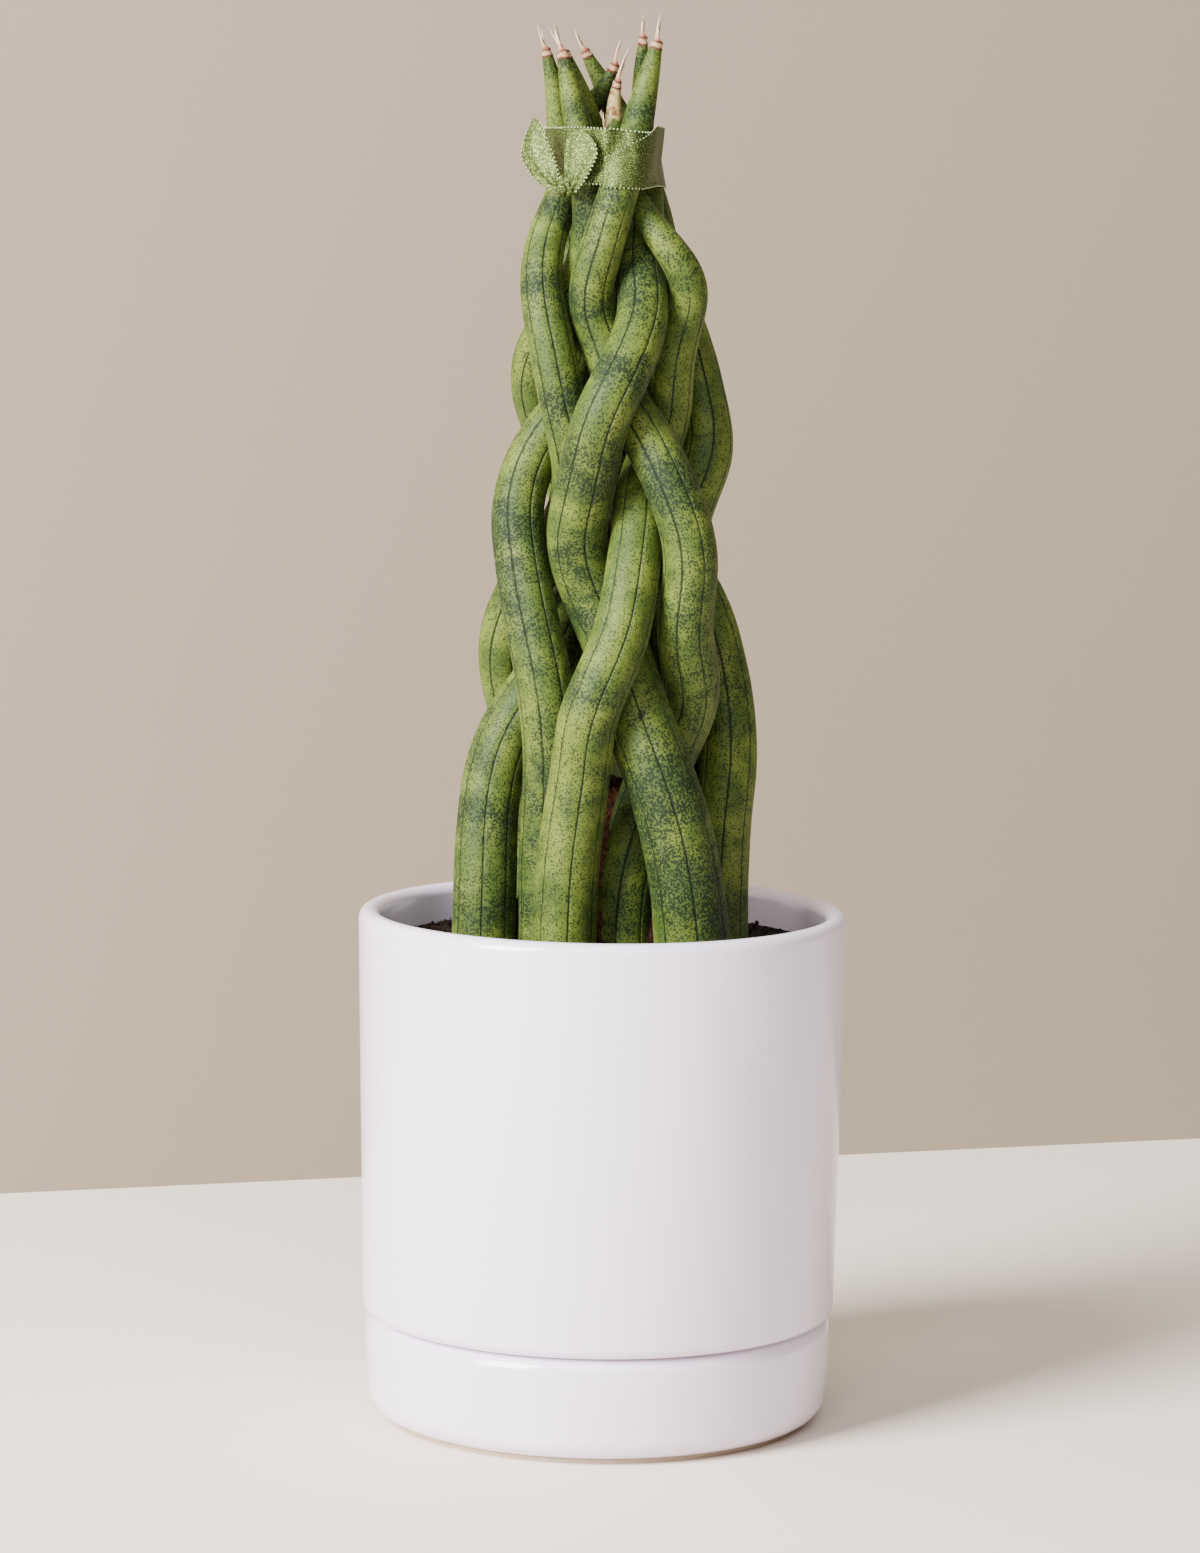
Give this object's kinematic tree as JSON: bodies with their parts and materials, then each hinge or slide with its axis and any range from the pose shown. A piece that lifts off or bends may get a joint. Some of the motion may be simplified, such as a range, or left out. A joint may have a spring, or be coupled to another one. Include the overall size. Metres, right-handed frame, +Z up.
{
  "type": "potted snake plant",
  "caption": "Round-leaf snake plant with its leaves braided and tied with a ribbon, in a white glazed cylinder pot that stands on its saucer.",
  "frame": {"origin": "on the floor, at the centre of the saucer's foot", "axes": "+Z up along the pot's axis and the leaves; -Y is the front, the side with the ribbon's knot; +X is to the right of someone facing it"},
  "size_m": [0.1798, 0.1798, 0.515],
  "materials": {
    "glaze": "gloss",
    "soil": "matte",
    "leaf": "satin",
    "ribbon": "satin"
  },
  "bodies": {
    "root": {"saucer": "glaze", "pot": "glaze", "soil": "soil", "front_left_leaf": "leaf", "front_middle_leaf": "leaf", "front_right_leaf": "leaf", "left_front_leaf": "leaf", "left_middle_leaf": "leaf", "left_back_leaf": "leaf", "right_front_leaf": "leaf", "right_middle_leaf": "leaf", "right_back_leaf": "leaf", "ribbon_band": "ribbon", "ribbon_knot": "ribbon", "ribbon_tail_left": "ribbon", "ribbon_tail_right": "ribbon"}
  },
  "joints": []
}
